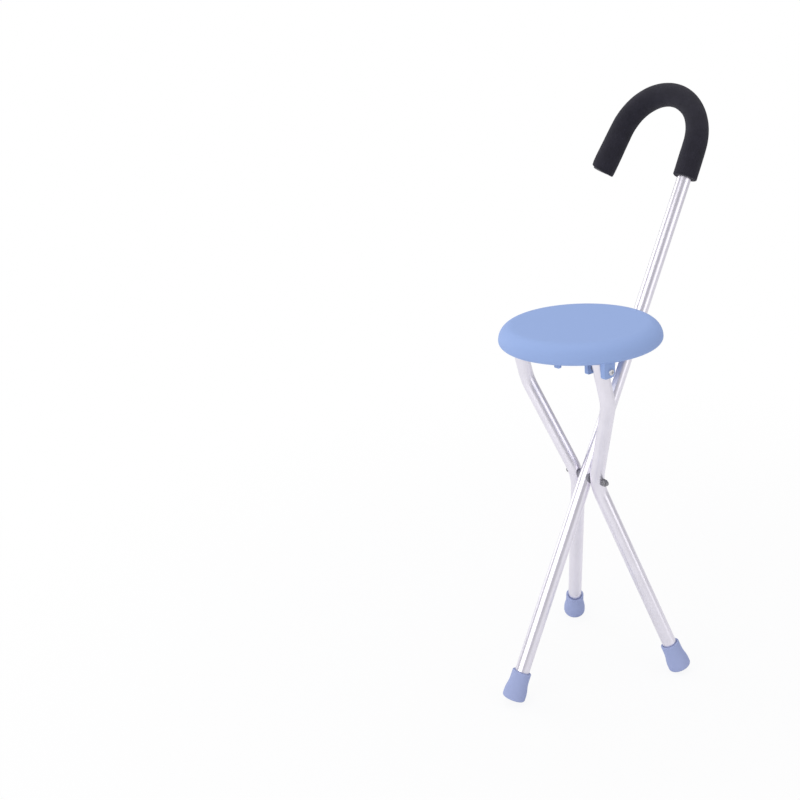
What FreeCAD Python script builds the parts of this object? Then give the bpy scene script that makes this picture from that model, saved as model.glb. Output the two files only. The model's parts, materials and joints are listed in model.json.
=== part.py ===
"""Walking stick seat: a crook-handled cane whose two bent legs and round seat
unfold into a three-legged stool.

The stool stands on z = 0, unfolded.  X runs along the pivot bolt, with the
crook hooking towards -X.  The cane's foot is in front, at -Y, and its crook
leans to the back, +Y.  Every piece is drawn in the frame of the member that
carries it (cane, left leg, right leg or seat), and then placed.
"""
import FreeCAD, Part
import math
import os

import Sketcher
from FreeCAD import Placement, Rotation, Vector

# Driving dimensions in millimetres and degrees
DRIVING = {
    # tubes
    "tube_diameter": 19.0,
    "tube_wall": 1.5,
    # cane, measured along it from the bottom of its ferrule
    "cane_length": 860.0,
    "bolt_station": 306.0,
    "grip_station": 727.0,
    "catch_station": 513.5,
    "crook_radius": 71.0,
    "crook_arc": 170.0,
    "crook_tail": 62.0,
    "grip_diameter": 30.0,
    "cap_diameter": 28.0,
    "cap_thickness": 3.0,
    # legs, measured in their own plane from the bolt
    "elbow_offset": 16.5,
    "elbow_drop": 4.5,
    "elbow_radius": 56.0,
    "lower_splay": 17.5,
    "upper_splay": 23.3,
    "shoulder_radius": 60.0,
    "hinge_spacing": 149.0,
    "hinge_reach": 182.0,
    "leg_top_margin": 11.0,
    # stance
    "cane_lean": 28.7,
    "leg_lean": 13.45,
    # ferrules
    "ferrule_height": 37.0,
    "ferrule_mouth": 25.4,
    "ferrule_foot": 30.4,
    "ferrule_edge": 3.5,
    "ferrule_floor": 8.0,
    "disc_thickness": 1.2,
    # pivot bolt and what turns on it, measured from the cane's axis
    "bolt_diameter": 5.0,
    "bolt_head_diameter": 8.6,
    "bolt_head_height": 2.8,
    "bolt_end": 39.6,
    "pivot_nut_width": 8.0,
    "pivot_nut_height": 4.7,
    "spacer_diameter": 15.0,
    "spacer_face": 10.5,
    "sleeve_diameter": 8.0,
    "flange_diameter": 9.4,
    "flange_face": 31.5,
    "washer_diameter": 9.5,
    "washer_thickness": 0.8,
    # catch pin through the cane
    "catch_diameter": 5.0,
    "catch_length": 38.0,
    "catch_cap_diameter": 9.0,
    # seat, heights above the hinge axis
    "seat_diameter": 210.6,
    "seat_lip_diameter": 202.6,
    "seat_setback": 40.0,
    "seat_top": 36.0,
    "seat_wall": 3.0,
    "seat_rim_radius": 19.0,
    "seat_skirt_bottom": 11.5,
    "rib_thickness": 2.2,
    "rib_bottom": 22.0,
    # clevises under the seat and their screws
    "ear_gap": 21.6,
    "ear_front": 10.5,
    "ear_back": 7.3,
    "ear_drop": 7.3,
    "outer_ear": 7.0,
    "inner_ear": 5.5,
    "screw_diameter": 4.0,
    "screw_head_diameter": 8.0,
    "screw_head_height": 2.6,
    "screw_length": 35.0,
    "hinge_nut_width": 7.0,
    "hinge_nut_height": 3.2,
    "hinge_nut_recess": 2.5,
    "hinge_washer_diameter": 10.0,
    "hinge_washer_thickness": 1.0,
    # clip for the folded cane, hooks for the catch pin, notch for the leaning cane
    "clip_slot": 20.0,
    "clip_width": 40.0,
    "clip_drop": 8.0,
    "clip_thickness": 3.2,
    "clip_front": 56.5,
    "saddle_station": 62.0,
    "saddle_width": 36.0,
    "saddle_bottom": 10.3,
    "hook_gap": 20.8,
    "hook_thickness": 6.0,
    "notch_diameter": 20.8,
    "notch_lean": 40.3,
    "notch_front": 89.35,
    # play between parts that move on each other, across the diameter
    "running_play": 0.1,
}

doc = FreeCAD.newDocument("WalkingStickSeat")
sheet = doc.addObject("Spreadsheet::Sheet", "dims")
for row, (alias, number) in enumerate(DRIVING.items(), start=1):
    sheet.set(f"A{row}", alias)
    sheet.set(f"B{row}", str(number))
    sheet.setAlias(f"B{row}", alias)
doc.recompute()


class Size:
    """A length or angle with both its number and the expression that gives it."""

    def __init__(self, value, text):
        self.value = value
        self.text = text

    @staticmethod
    def of(thing):
        return thing if isinstance(thing, Size) else Size(float(thing), repr(float(thing)))

    def joined(self, other, sign, value):
        return Size(value, f"({self.text} {sign} {Size.of(other).text})")

    def __add__(self, other):
        return self.joined(other, "+", self.value + Size.of(other).value)

    def __sub__(self, other):
        return self.joined(other, "-", self.value - Size.of(other).value)

    def __mul__(self, other):
        return self.joined(other, "*", self.value * Size.of(other).value)

    def __truediv__(self, other):
        return self.joined(other, "/", self.value / Size.of(other).value)

    def __radd__(self, other):
        return Size.of(other) + self

    def __rsub__(self, other):
        return Size.of(other) - self

    def __rmul__(self, other):
        return Size.of(other) * self

    def __neg__(self):
        return Size(-self.value, f"(-{self.text})")


def dim(alias):
    """The sheet's cell with this alias."""
    return Size(float(sheet.get(alias)), f"dims.{alias}")


def sine(angle):
    return Size(math.sin(math.radians(angle.value)), f"sin({angle.text} * 1 deg)")


def cosine(angle):
    return Size(math.cos(math.radians(angle.value)), f"cos({angle.text} * 1 deg)")


def tangent(angle):
    return Size(math.tan(math.radians(angle.value)), f"tan({angle.text} * 1 deg)")


def arc_cosine(ratio):
    return Size(math.degrees(math.acos(ratio.value)), f"(acos({ratio.text}) / 1 deg)")


# Sizes worked out from the driving ones
tube_radius = dim("tube_diameter") / 2
bore_radius = tube_radius - dim("tube_wall")
grip_radius = dim("grip_diameter") / 2
crook_start = dim("cane_length") - grip_radius - dim("crook_radius")
half_spacing = dim("hinge_spacing") / 2
seat_radius = dim("seat_diameter") / 2
flat_radius = seat_radius - dim("seat_rim_radius")
rim_level = dim("seat_top") - dim("seat_rim_radius")
ceiling = dim("seat_top") - dim("seat_wall")
root_level = ceiling + dim("seat_wall") / 2
leg_top = dim("hinge_reach") + dim("leg_top_margin")
bolt_bore = (dim("bolt_diameter") + dim("running_play")) / 2
screw_bore = (dim("screw_diameter") + dim("running_play")) / 2
sleeve_radius = dim("sleeve_diameter") / 2
seat_hinge = -dim("seat_setback")
outer_washer_face = dim("flange_face") + 0.2 + dim("washer_thickness")

# The cane's ferrule touches the floor at the front of its rounded bottom edge
edge_ring = dim("ferrule_foot") / 2 - dim("ferrule_edge")
bolt_height = (
    (dim("bolt_station") - dim("ferrule_edge")) * cosine(dim("cane_lean"))
    + edge_ring * sine(dim("cane_lean"))
    + dim("ferrule_edge")
)

# The legs are as long as puts their ferrules' edges on the same floor
leg_tilt = arc_cosine(cosine(dim("lower_splay")) * cosine(dim("leg_lean")))
leg_drop = (
    bolt_height
    - dim("ferrule_edge") * (1 - cosine(leg_tilt))
    - edge_ring * sine(leg_tilt)
) / cosine(dim("leg_lean"))
shin_length = (leg_drop - dim("elbow_drop")) / cosine(dim("lower_splay"))
sole_x = dim("elbow_offset") + shin_length * sine(dim("lower_splay"))

CANE_Z = Vector(0, 0, 1)
BOLT_POINT = Vector(0, 0, bolt_height.value)
LEAN_AXIS = Vector(1, 0, 0)
CANE = Placement(BOLT_POINT, Rotation(LEAN_AXIS, -dim("cane_lean").value)) * Placement(
    Vector(0, 0, -dim("bolt_station").value), Rotation()
)
RIGHT_LEG = Placement(BOLT_POINT, Rotation(LEAN_AXIS, dim("leg_lean").value))
LEFT_LEG = RIGHT_LEG * Placement(Vector(), Rotation(CANE_Z, 180))
HINGE_POINT = RIGHT_LEG.multVec(Vector(0, 0, dim("hinge_reach").value))
SEAT = Placement(HINGE_POINT + Vector(0, dim("seat_setback").value, 0), Rotation())

pieces = {}


def piece(name):
    """A new body whose label is the node's name."""
    body = doc.addObject("PartDesign::Body", name)
    body.Label = name
    pieces[name] = body
    return body


def place(body, frame, position=Vector(), rotation=Rotation()):
    """Put a finished body in its member's frame."""
    doc.recompute()
    body.Placement = frame * Placement(position, rotation)


def on_cane(station):
    """The cane's frame at a station along it."""
    return CANE * Placement(Vector(0, 0, Size.of(station).value), Rotation())


def origin_plane(body, role):
    return next(item for item in body.Origin.OriginFeatures if item.Role == role)


def sketch_on(body, role, name, lift=None, tilt=0.0):
    """A sketch on one of the body's origin planes, lifted along its normal."""
    sketch = body.newObject("Sketcher::SketchObject", name)
    sketch.AttachmentSupport = [(origin_plane(body, role), "")]
    sketch.MapMode = "FlatFace"
    if tilt:
        sketch.AttachmentOffset = Placement(Vector(), Rotation(LEAN_AXIS, tilt))
    if lift is not None:
        sketch.setExpression("AttachmentOffset.Base.z", Size.of(lift).text)
    return sketch


def hold(sketch, constraint, name, size):
    """Add a constraint and bind it to the sheet."""
    index = sketch.addConstraint(constraint)
    sketch.renameConstraint(index, name)
    sketch.setExpression(f"Constraints.{name}", size.text)


def pin_point(sketch, geometry, position, point):
    """Hold one point of a sketch at x and y from its origin."""
    for axis, coordinate in zip("XY", point):
        size = Size.of(coordinate)
        if abs(size.value) < 1e-9:
            crossing = -2 if axis == "X" else -1
            sketch.addConstraint(Sketcher.Constraint("PointOnObject", geometry, position, crossing))
        else:
            bound = Sketcher.Constraint(f"Distance{axis}", -1, 1, geometry, position, size.value)
            hold(sketch, bound, f"{axis.lower()}_{geometry}_{position}", size)


def add_circle(sketch, radius, centre=(0, 0)):
    """A circle held by its centre and radius."""
    radius = Size.of(radius)
    middle = Vector(Size.of(centre[0]).value, Size.of(centre[1]).value, 0)
    index = sketch.addGeometry(Part.Circle(middle, CANE_Z, radius.value), False)
    pin_point(sketch, index, 3, centre)
    hold(sketch, Sketcher.Constraint("Radius", index, radius.value), f"radius_{index}", radius)


def arc_between(start, end, radius):
    """The minor arc from start to end, and the numbers of its points that lie there.  A
    positive radius bulges to the left of the way, a negative one to the right."""
    chord = end - start
    left = Vector(-chord.y, chord.x, 0).normalize()
    half = chord.Length / 2
    depth = math.sqrt(max(radius * radius - half * half, 0.0))
    centre = start + chord * 0.5 - left * math.copysign(depth, radius)
    first, last = (end, start) if radius > 0 else (start, end)
    begin = math.atan2(first.y - centre.y, first.x - centre.x)
    finish = math.atan2(last.y - centre.y, last.x - centre.x)
    if finish < begin:
        finish += 2 * math.pi
    circle = Part.Circle(centre, Vector(0, 0, 1), abs(radius))
    return Part.ArcOfCircle(circle, begin, finish), (2, 1) if radius > 0 else (1, 2)


def add_outline(sketch, corners):
    """A closed outline through corners of (x, y), or of (x, y, radius) where the edge that
    arrives there is an arc.  Each corner and radius is bound to the sheet."""
    points = [Vector(Size.of(corner[0]).value, Size.of(corner[1]).value, 0) for corner in corners]
    edges = []
    for index, start in enumerate(points):
        target = (index + 1) % len(points)
        if len(corners[target]) == 3:
            radius = Size.of(corners[target][2])
            arc, ends = arc_between(start, points[target], radius.value)
            edges.append((sketch.addGeometry(arc, False), ends, radius))
        else:
            line = Part.LineSegment(start, points[target])
            edges.append((sketch.addGeometry(line, False), (1, 2), None))
    for index, (edge, ends, radius) in enumerate(edges):
        following, following_ends, _ = edges[(index + 1) % len(edges)]
        pin_point(sketch, edge, ends[0], corners[index][:2])
        meeting = Sketcher.Constraint("Coincident", edge, ends[1], following, following_ends[0])
        sketch.addConstraint(meeting)
        if radius is not None:
            size = radius if radius.value > 0 else -radius
            hold(sketch, Sketcher.Constraint("Radius", edge, size.value), f"radius_{edge}", size)


def feature(body, kind, name, sketch):
    """A feature of a body, made from a sketch."""
    made = body.newObject(f"PartDesign::{kind}", name)
    made.Profile = (sketch, [""])
    sketch.Visibility = False
    return made


def pad(body, sketch, name, length, reverse=False, symmetric=False):
    made = feature(body, "Pad", name, sketch)
    made.setExpression("Length", Size.of(length).text)
    made.Reversed = reverse
    if symmetric:
        made.SideType = "Symmetric"
    return made


def cut(body, sketch, name, depth=None, reverse=False):
    """Cut a sketch into the body, right through both ways or to a depth, and check that it
    took something away."""
    doc.recompute()
    before = body.Shape.Volume
    made = feature(body, "Pocket", name, sketch)
    if depth is None:
        made.Type = "ThroughAll"
        made.SideType = "Symmetric"
    else:
        made.setExpression("Length", Size.of(depth).text)
        made.Reversed = reverse
    doc.recompute()
    if not body.Shape.Volume < before - 1e-6:
        raise RuntimeError(f"{body.Label}: {name} took nothing away")
    return made


def turn(body, name, corners, along="Z", groove=False):
    """Turn an outline of (radius, station) corners about the body's Z or X axis."""
    outline = sketch_on(body, "XZ_Plane", f"{name}_outline")
    if along == "X":
        swapped = []
        for corner in corners:
            bend = [-Size.of(corner[2])] if len(corner) == 3 else []
            swapped.append((corner[1], corner[0], *bend))
        corners = swapped
    add_outline(outline, corners)
    made = feature(body, "Groove" if groove else "Revolution", name, outline)
    made.ReferenceAxis = (outline, ["H_Axis" if along == "X" else "V_Axis"])
    made.Angle = 360
    return made


def drill(body, role, name, radius, centre=(0, 0)):
    """A round hole right through, square to an origin plane."""
    sketch = sketch_on(body, role, f"{name}_circle")
    add_circle(sketch, radius, centre)
    return cut(body, sketch, name)


def hexagon(width, centre=(0, 0)):
    """Corners of a hexagon of this width across its flats, with two of its corners upright."""
    reach = Size.of(width) / 2
    corner = reach / cosine(Size.of(30))
    half = corner / 2
    corners = (
        (corner, 0), (half, reach), (-half, reach),
        (-corner, 0), (-half, -reach), (half, -reach),
    )
    return [(centre[0] + y, centre[1] + x) for x, y in corners]


def mirror(body, name, originals):
    """A mirrored second solid, on the other side of the body's YZ plane."""
    doc.recompute()
    made = body.newObject("PartDesign::Mirrored", name)
    made.Originals = originals
    made.MirrorPlane = (origin_plane(body, "YZ_Plane"), [""])
    body.Tip = made
    return made


def crook_spine(body, name, straight):
    """Centre line of the cane's upper end: a straight run, the crook and its tail."""
    spine = sketch_on(body, "XZ_Plane", name)
    radius = dim("crook_radius")
    tail_length = dim("crook_tail")
    centre = Vector(-radius.value, straight.value, 0)
    arc = math.radians(dim("crook_arc").value)
    bend_end = centre + Vector(math.cos(arc), math.sin(arc), 0) * radius.value
    heading = Vector(-math.sin(arc), math.cos(arc), 0)
    edges = (
        Part.LineSegment(Vector(), Vector(0, straight.value, 0)),
        Part.ArcOfCircle(Part.Circle(centre, CANE_Z, radius.value), 0, arc),
        Part.LineSegment(bend_end, bend_end + heading * tail_length.value),
    )
    run, bend, tail = (spine.addGeometry(edge, False) for edge in edges)
    spine.addConstraint(Sketcher.Constraint("Coincident", run, 1, -1, 1))
    spine.addConstraint(Sketcher.Constraint("Vertical", run))
    spine.addConstraint(Sketcher.Constraint("Tangent", run, 2, bend, 1))
    spine.addConstraint(Sketcher.Constraint("Tangent", bend, 2, tail, 1))
    hold(spine, Sketcher.Constraint("DistanceY", run, 1, run, 2, straight.value), "run", straight)
    hold(spine, Sketcher.Constraint("Radius", bend, radius.value), "bend", radius)
    hold(spine, Sketcher.Constraint("Distance", tail, tail_length.value), "tail", tail_length)
    bend_end_x = radius * cosine(dim("crook_arc")) - radius
    reach = Sketcher.Constraint("DistanceX", -1, 1, bend, 2, bend_end_x.value)
    hold(spine, reach, "bend_end", bend_end_x)
    return spine


def crook_tail_end():
    """Where the cane's tube ends, and which way it points there, in the cane's frame."""
    arc = math.radians(dim("crook_arc").value)
    radius = dim("crook_radius").value
    outward = Vector(math.cos(arc), 0, math.sin(arc))
    heading = Vector(-math.sin(arc), 0, math.cos(arc))
    centre = Vector(-radius, 0, crook_start.value)
    return centre + outward * radius + heading * dim("crook_tail").value, heading


def leg_spine(body, name):
    """Centre line of the right leg: shin, elbow at the bolt, thigh, shoulder and top."""
    spine = sketch_on(body, "XZ_Plane", name)
    lower = dim("lower_splay")
    upper = dim("upper_splay")
    elbow_trim = dim("elbow_radius") * tangent((lower + upper) / 2)
    shoulder_trim = dim("shoulder_radius") * tangent(upper / 2)
    thigh_length = (half_spacing - dim("elbow_offset")) / sine(upper)
    tube_shin = shin_length - dim("ferrule_floor")

    elbow = (dim("elbow_offset"), -dim("elbow_drop"))
    down = (sine(lower), -cosine(lower))
    rise = (sine(upper), cosine(upper))
    plumb = (Size.of(0), Size.of(1))

    def along(start, way, distance):
        return start[0] + way[0] * distance, start[1] + way[1] * distance

    shoulder = along(elbow, rise, thigh_length)
    stops = (
        along(elbow, down, tube_shin),
        along(elbow, down, elbow_trim),
        along(elbow, rise, elbow_trim),
        along(shoulder, rise, -shoulder_trim),
        along(shoulder, plumb, shoulder_trim),
        (half_spacing, leg_top),
    )
    points = [Vector(x.value, y.value, 0) for x, y in stops]
    bends = {1: dim("elbow_radius"), 3: dim("shoulder_radius")}
    sides = {1: 1, 3: -1}
    edges = []
    for index, (start, end) in enumerate(zip(points, points[1:])):
        if index in bends:
            arc, ends = arc_between(start, end, bends[index].value * sides[index])
            edges.append((spine.addGeometry(arc, False), ends))
        else:
            edges.append((spine.addGeometry(Part.LineSegment(start, end), False), (1, 2)))
    for (edge, ends), (following, following_ends) in zip(edges, edges[1:]):
        joint = Sketcher.Constraint("Tangent", edge, ends[1], following, following_ends[0])
        spine.addConstraint(joint)
    shin, elbow_arc, thigh, shoulder_arc, stub = (edge for edge, _ in edges)
    for tag, edge in (("elbow", elbow_arc), ("shoulder", shoulder_arc)):
        radius = dim(f"{tag}_radius")
        hold(spine, Sketcher.Constraint("Radius", edge, radius.value), tag, radius)
    pin_point(spine, shin, 1, stops[0])
    pin_point(spine, stub, 2, stops[-1])
    spine.addConstraint(Sketcher.Constraint("Vertical", stub))
    for tag, edge, slope in (("shin", shin, 90 + lower), ("thigh", thigh, 90 - upper)):
        angle = Sketcher.Constraint("Angle", edge, math.radians(slope.value))
        hold(spine, angle, f"{tag}_slope", slope * Size(1.0, "1 deg"))
    elbow_start = Sketcher.Constraint("DistanceX", -1, 1, shin, 2, stops[1][0].value)
    hold(spine, elbow_start, "elbow_start", stops[1][0])
    return spine


def sweep_leg(body, name, radii, subtract=False):
    """Sweep round sections along the leg's centre line, from its top."""
    section = sketch_on(body, "XY_Plane", f"{name}_section", lift=leg_top)
    for radius in radii:
        add_circle(section, radius, (half_spacing, 0))
    made = feature(body, "SubtractivePipe" if subtract else "AdditivePipe", name, section)
    spine = leg_spine(body, f"{name}_spine")
    made.Spine = (spine, [""])
    spine.Visibility = False
    return made


def sweep_crook(body, name, radii, straight):
    """Sweep round sections along the crook's centre line."""
    section = sketch_on(body, "XY_Plane", f"{name}_section")
    for radius in radii:
        add_circle(section, radius)
    made = feature(body, "AdditivePipe", name, section)
    spine = crook_spine(body, f"{name}_spine", straight)
    made.Spine = (spine, [""])
    spine.Visibility = False
    return made


def build_ferrule(name, frame, position=Vector(), rotation=Rotation()):
    """Rubber tip: a collar that grips the tube, flaring to a treaded foot, and the steel
    washer inside that keeps the tube from punching through."""
    foot = dim("ferrule_foot") / 2
    mouth = dim("ferrule_mouth") / 2
    edge = dim("ferrule_edge")
    height = dim("ferrule_height")
    shelf = dim("ferrule_floor") - dim("disc_thickness")
    bulge_top = 7.0
    waist_height = 17.0
    collar_start = 27.0
    flare = 41.0
    lip = 0.7
    tread_depth = 1.0
    corners = [(0, shelf), (0, 0)]
    for inner, outer in ((2.0, 3.6), (6.2, 7.8)):
        corners += [(inner, 0), (inner, tread_depth), (outer, tread_depth), (outer, 0)]
    corners += [
        (edge_ring, 0),
        (foot, edge, -edge),
        (foot, bulge_top),
        ((foot + mouth) / 2, waist_height, -flare),
        (mouth, collar_start, flare),
        (mouth, height - lip),
        (mouth - lip, height),
        (tube_radius + lip, height),
        (tube_radius, height - 2 * lip),
        (tube_radius, shelf),
    ]
    body = piece(name)
    turn(body, f"{name}_moulding", corners)
    place(body, frame, position, rotation)

    washer = piece(f"{name}_washer")
    radius = tube_radius - 0.1
    top = dim("ferrule_floor")
    disc = [(0, shelf), (radius, shelf), (radius, top), (0, top)]
    turn(washer, f"{name}_stamping", disc)
    place(washer, frame, position, rotation)


def build_nut(body, name, width, height, bore, base, collar=0.0):
    """Hexagon nut along X from a base station, with a round locking collar on top."""
    corner = width / 2 / cosine(Size.of(30))
    chamfer = 0.35
    top = base + height - collar
    corners = [
        (bore, base),
        (corner - chamfer, base),
        (corner, base + chamfer),
        (corner, top - chamfer),
        (corner - chamfer, top),
    ]
    if collar:
        rim = width / 2 - 0.3
        corners += [(rim, top), (rim - 0.2, top + collar)]
    corners.append((bore, base + height))
    made = [turn(body, f"{name}_blank", corners, along="X")]
    limit = corner + 1.0
    for index in range(3):
        # each cut takes two opposite flats
        flats = sketch_on(body, "YZ_Plane", f"{name}_flats_{index}", lift=base - 0.1)
        across = Size.of(math.cos(math.radians(60 * index)))
        upward = Size.of(math.sin(math.radians(60 * index)))
        for sign in (1, -1):
            near = width / 2 * sign
            far = limit * sign
            box = ((near, -limit), (far, -limit), (far, limit), (near, limit))
            add_outline(flats, [(x * across - y * upward, x * upward + y * across) for x, y in box])
        made.append(cut(body, flats, f"{name}_flat_{index}", height - collar + 0.1, reverse=True))
    return made


def build_cane():
    """Cane tube, foam grip, end cap and ferrule."""
    start = dim("ferrule_floor")
    tube = piece("cane_tube")
    sweep_crook(tube, "cane_bend", (tube_radius, bore_radius), crook_start - start)
    drill(tube, "YZ_Plane", "bolt_hole", sleeve_radius, (0, dim("bolt_station") - start))
    catch_radius = dim("catch_diameter") / 2
    drill(tube, "YZ_Plane", "catch_hole", catch_radius, (0, dim("catch_station") - start))
    place(tube, on_cane(start))

    grip = piece("foam_grip")
    sweep_crook(grip, "grip_bend", (grip_radius, tube_radius), crook_start - dim("grip_station"))
    place(grip, on_cane(dim("grip_station")))

    # the cap's stem is in the tube and its head covers tube and foam
    stem_length = 18.0
    taper = 1.2
    dome = 1.4
    head = dim("cap_diameter") / 2
    thickness = dim("cap_thickness")
    cap = piece("grip_end_cap")
    corners = [
        (0, -stem_length),
        (bore_radius - taper, -stem_length),
        (bore_radius, 2 * taper - stem_length),
        (bore_radius, 0),
        (head, 0),
        (head, thickness - dome),
        (head - dome, thickness, -dome),
        (0, thickness),
    ]
    turn(cap, "cap_moulding", corners)
    end, heading = crook_tail_end()
    place(cap, CANE, end, Rotation(CANE_Z, heading))
    build_ferrule("cane_ferrule", CANE)


def build_catch():
    """Pin through the cane that the seat's hooks hold, with a push-on cap at each end."""
    frame = on_cane(dim("catch_station"))
    radius = dim("catch_diameter") / 2
    half = dim("catch_length") / 2
    chamfer = 0.6
    pin = piece("catch_pin")
    corners = [
        (0, -half),
        (radius - chamfer, -half),
        (radius, chamfer - half),
        (radius, half - chamfer),
        (radius - chamfer, half),
        (0, half),
    ]
    turn(pin, "catch_rod", corners, along="X")
    place(pin, frame)

    cover = 1.0
    skirt = 2.0
    edge = 0.8
    outer = dim("catch_cap_diameter") / 2
    caps = piece("catch_pin_caps")
    caps.AllowCompound = True
    corners = [
        (0, half),
        (radius, half),
        (radius, half - skirt),
        (outer, half - skirt),
        (outer, half + cover - edge),
        (outer - edge, half + cover, -edge),
        (0, half + cover),
    ]
    cap = turn(caps, "catch_cap", corners, along="X")
    mirror(caps, "catch_cap_pair", [cap])
    place(caps, frame)


def build_pivot():
    """Bolt through cane and legs, its nut and washers, and the two spacers that seat on the
    cane's round sides."""
    frame = on_cane(dim("bolt_station"))
    radius = dim("bolt_diameter") / 2
    seat_face = outer_washer_face
    head = dim("bolt_head_diameter") / 2
    head_top = -seat_face - dim("bolt_head_height")
    end = dim("bolt_end")
    chamfer = 0.8
    crown = 1.6
    bolt = piece("pivot_bolt")
    corners = [
        (0, head_top),
        (head - crown, head_top),
        (head, head_top + crown, -1.7),
        (head, -seat_face),
        (radius, -seat_face),
        (radius, end - chamfer),
        (radius - chamfer, end),
        (0, end),
    ]
    turn(bolt, "bolt_blank", corners, along="X")
    socket = sketch_on(bolt, "YZ_Plane", "bolt_socket_hexagon", lift=head_top)
    add_outline(socket, hexagon(3.0))
    cut(bolt, socket, "bolt_socket", 1.5, reverse=True)
    place(bolt, frame)

    nut = piece("pivot_nut")
    width = dim("pivot_nut_width")
    height = dim("pivot_nut_height")
    build_nut(nut, "pivot_nut", width, height, radius, seat_face, collar=1.1)
    place(nut, frame)

    washers = piece("pivot_washers")
    washers.AllowCompound = True
    inner_face = seat_face - dim("washer_thickness")
    rim = dim("washer_diameter") / 2
    corners = [(bolt_bore, inner_face), (rim, inner_face), (rim, seat_face), (bolt_bore, seat_face)]
    stamped = turn(washers, "pivot_washer", corners, along="X")
    mirror(washers, "pivot_washer_pair", [stamped])
    place(washers, frame)

    stem_end = bore_radius - 1.0
    disc = dim("spacer_diameter") / 2
    face = dim("spacer_face")
    root = tube_radius / 2
    bevel = 0.5
    for side, facing in (("left", 180), ("right", 0)):
        spacer = piece(f"{side}_spacer")
        corners = [(0, root), (disc, root), (disc, face - bevel), (disc - bevel, face), (0, face)]
        turn(spacer, f"{side}_spacer_disc", corners, along="X")
        saddle = sketch_on(spacer, "XY_Plane", f"{side}_spacer_saddle_circle")
        add_circle(saddle, tube_radius)
        cut(spacer, saddle, f"{side}_spacer_saddle")
        stem = [(0, stem_end), (sleeve_radius, stem_end), (sleeve_radius, face - 1), (0, face - 1)]
        turn(spacer, f"{side}_spacer_stem", stem, along="X")
        drill(spacer, "YZ_Plane", f"{side}_spacer_bore", bolt_bore)
        place(spacer, frame, rotation=Rotation(CANE_Z, facing))


def build_leg(side, frame):
    """A bent leg with its pivot bush, top plug and ferrule."""
    tube = piece(f"{side}_leg_tube")
    sweep_leg(tube, f"{side}_leg_bend", (tube_radius, bore_radius))
    drill(tube, "YZ_Plane", f"{side}_leg_bush_hole", sleeve_radius)
    drill(tube, "YZ_Plane", f"{side}_leg_screw_hole", screw_bore, (0, dim("hinge_reach")))
    place(tube, frame)

    # the bush's flange is shaped to the bend by the leg's own rod
    bush = piece(f"{side}_leg_bush")
    face = dim("flange_face")
    rim = dim("flange_diameter") / 2
    inner_end = 11.8
    flange = [(0, face - 4), (rim, face - 4), (rim, face - 0.3), (rim - 0.3, face), (0, face)]
    turn(bush, f"{side}_bush_flange", flange, along="X")
    sweep_leg(bush, f"{side}_bush_saddle", (tube_radius,), subtract=True)
    sleeve_end = face - 0.5
    sleeve = [(0, inner_end), (sleeve_radius, inner_end), (sleeve_radius, sleeve_end), (0, sleeve_end)]
    turn(bush, f"{side}_bush_sleeve", sleeve, along="X")
    drill(bush, "YZ_Plane", f"{side}_bush_bore", bolt_bore)
    place(bush, frame)

    plug = piece(f"{side}_leg_plug")
    depth = 30.0
    taper = 1.2
    dome = 1.6
    crown = 3.0
    corners = [
        (0, -depth),
        (bore_radius - taper, -depth),
        (bore_radius, 2 * taper - depth),
        (bore_radius, 0),
        (tube_radius, 0),
        (tube_radius, crown - dome),
        (tube_radius - dome, crown, -dome),
        (0, crown),
    ]
    turn(plug, f"{side}_plug_moulding", corners)
    margin = -dim("leg_top_margin")
    drill(plug, "YZ_Plane", f"{side}_plug_bore", screw_bore, (0, margin))
    place(plug, frame, Vector(half_spacing.value, 0, leg_top.value))

    sole = Vector(sole_x.value, 0, -leg_drop.value)
    splay = Rotation(Vector(0, 1, 0), -dim("lower_splay").value)
    build_ferrule(f"{side}_ferrule", frame, sole, splay)


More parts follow.
